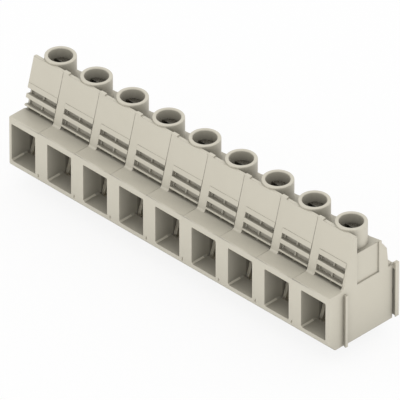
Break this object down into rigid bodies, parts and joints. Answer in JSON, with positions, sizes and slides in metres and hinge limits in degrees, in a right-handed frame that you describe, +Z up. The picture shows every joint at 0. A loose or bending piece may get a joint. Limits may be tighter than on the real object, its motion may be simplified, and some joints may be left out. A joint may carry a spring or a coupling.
{
  "type": "pcb terminal block",
  "caption": "Row of joined plastic poles for a circuit board, each with a square wire opening, a sloped marker plate, a screw tower and a rising cage clamp on a current bar with solder pins.",
  "frame": {"origin": "on the board plane, midway between the outer solder pins", "axes": "+X along the row of poles, +Y from the wire side to the back, +Z up from the board"},
  "size_m": [0.0905, 0.0189, 0.0281],
  "materials": {
    "housing_plastic": "fine moulded, pebble grey",
    "tinned_copper": "matt tin",
    "plated_steel": "zinc plated",
    "screw_steel": "zinc plated"
  },
  "bodies": {
    "block": {"housing_1": "housing_plastic", "housing_2": "housing_plastic", "housing_3": "housing_plastic", "housing_4": "housing_plastic", "housing_5": "housing_plastic", "housing_6": "housing_plastic", "housing_7": "housing_plastic", "housing_8": "housing_plastic", "housing_9": "housing_plastic", "current_bar_1": "tinned_copper", "current_bar_2": "tinned_copper", "current_bar_3": "tinned_copper", "current_bar_4": "tinned_copper", "current_bar_5": "tinned_copper", "current_bar_6": "tinned_copper", "current_bar_7": "tinned_copper", "current_bar_8": "tinned_copper", "current_bar_9": "tinned_copper"},
    "screw_1": {"clamp_screw_1": "screw_steel"},
    "yoke_1": {"clamping_yoke_1": "plated_steel"},
    "screw_2": {"clamp_screw_2": "screw_steel"},
    "yoke_2": {"clamping_yoke_2": "plated_steel"},
    "screw_3": {"clamp_screw_3": "screw_steel"},
    "yoke_3": {"clamping_yoke_3": "plated_steel"},
    "screw_4": {"clamp_screw_4": "screw_steel"},
    "yoke_4": {"clamping_yoke_4": "plated_steel"},
    "screw_5": {"clamp_screw_5": "screw_steel"},
    "yoke_5": {"clamping_yoke_5": "plated_steel"},
    "screw_6": {"clamp_screw_6": "screw_steel"},
    "yoke_6": {"clamping_yoke_6": "plated_steel"},
    "screw_7": {"clamp_screw_7": "screw_steel"},
    "yoke_7": {"clamping_yoke_7": "plated_steel"},
    "screw_8": {"clamp_screw_8": "screw_steel"},
    "yoke_8": {"clamping_yoke_8": "plated_steel"},
    "screw_9": {"clamp_screw_9": "screw_steel"},
    "yoke_9": {"clamping_yoke_9": "plated_steel"}
  },
  "joints": [
    {"name": "screw_1_turn", "type": "hinge", "parent": "block", "child": "screw_1", "pos_m": [-0.04064, 0.00115, 0.015], "axis": [0, 0, -1], "range_deg": [0, 3060]},
    {"name": "yoke_1_rise", "type": "slide", "parent": "block", "child": "yoke_1", "axis": [0, 0, 1], "range_m": [0, 0.00595]},
    {"name": "screw_2_turn", "type": "hinge", "parent": "block", "child": "screw_2", "pos_m": [-0.03048, 0.00115, 0.015], "axis": [0, 0, -1], "range_deg": [0, 3060]},
    {"name": "yoke_2_rise", "type": "slide", "parent": "block", "child": "yoke_2", "axis": [0, 0, 1], "range_m": [0, 0.00595]},
    {"name": "screw_3_turn", "type": "hinge", "parent": "block", "child": "screw_3", "pos_m": [-0.02032, 0.00115, 0.015], "axis": [0, 0, -1], "range_deg": [0, 3060]},
    {"name": "yoke_3_rise", "type": "slide", "parent": "block", "child": "yoke_3", "axis": [0, 0, 1], "range_m": [0, 0.00595]},
    {"name": "screw_4_turn", "type": "hinge", "parent": "block", "child": "screw_4", "pos_m": [-0.01016, 0.00115, 0.015], "axis": [0, 0, -1], "range_deg": [0, 3060]},
    {"name": "yoke_4_rise", "type": "slide", "parent": "block", "child": "yoke_4", "axis": [0, 0, 1], "range_m": [0, 0.00595]},
    {"name": "screw_5_turn", "type": "hinge", "parent": "block", "child": "screw_5", "pos_m": [0, 0.00115, 0.015], "axis": [0, 0, -1], "range_deg": [0, 3060]},
    {"name": "yoke_5_rise", "type": "slide", "parent": "block", "child": "yoke_5", "axis": [0, 0, 1], "range_m": [0, 0.00595]},
    {"name": "screw_6_turn", "type": "hinge", "parent": "block", "child": "screw_6", "pos_m": [0.01016, 0.00115, 0.015], "axis": [0, 0, -1], "range_deg": [0, 3060]},
    {"name": "yoke_6_rise", "type": "slide", "parent": "block", "child": "yoke_6", "axis": [0, 0, 1], "range_m": [0, 0.00595]},
    {"name": "screw_7_turn", "type": "hinge", "parent": "block", "child": "screw_7", "pos_m": [0.02032, 0.00115, 0.015], "axis": [0, 0, -1], "range_deg": [0, 3060]},
    {"name": "yoke_7_rise", "type": "slide", "parent": "block", "child": "yoke_7", "axis": [0, 0, 1], "range_m": [0, 0.00595]},
    {"name": "screw_8_turn", "type": "hinge", "parent": "block", "child": "screw_8", "pos_m": [0.03048, 0.00115, 0.015], "axis": [0, 0, -1], "range_deg": [0, 3060]},
    {"name": "yoke_8_rise", "type": "slide", "parent": "block", "child": "yoke_8", "axis": [0, 0, 1], "range_m": [0, 0.00595]},
    {"name": "screw_9_turn", "type": "hinge", "parent": "block", "child": "screw_9", "pos_m": [0.04064, 0.00115, 0.015], "axis": [0, 0, -1], "range_deg": [0, 3060]},
    {"name": "yoke_9_rise", "type": "slide", "parent": "block", "child": "yoke_9", "axis": [0, 0, 1], "range_m": [0, 0.00595]}
  ],
  "couplings": [
    {"joint": "screw_1_turn", "follows": "yoke_1_rise", "rad_per_m": 8976},
    {"joint": "screw_2_turn", "follows": "yoke_2_rise", "rad_per_m": 8976},
    {"joint": "screw_3_turn", "follows": "yoke_3_rise", "rad_per_m": 8976},
    {"joint": "screw_4_turn", "follows": "yoke_4_rise", "rad_per_m": 8976},
    {"joint": "screw_5_turn", "follows": "yoke_5_rise", "rad_per_m": 8976},
    {"joint": "screw_6_turn", "follows": "yoke_6_rise", "rad_per_m": 8976},
    {"joint": "screw_7_turn", "follows": "yoke_7_rise", "rad_per_m": 8976},
    {"joint": "screw_8_turn", "follows": "yoke_8_rise", "rad_per_m": 8976},
    {"joint": "screw_9_turn", "follows": "yoke_9_rise", "rad_per_m": 8976}
  ]
}
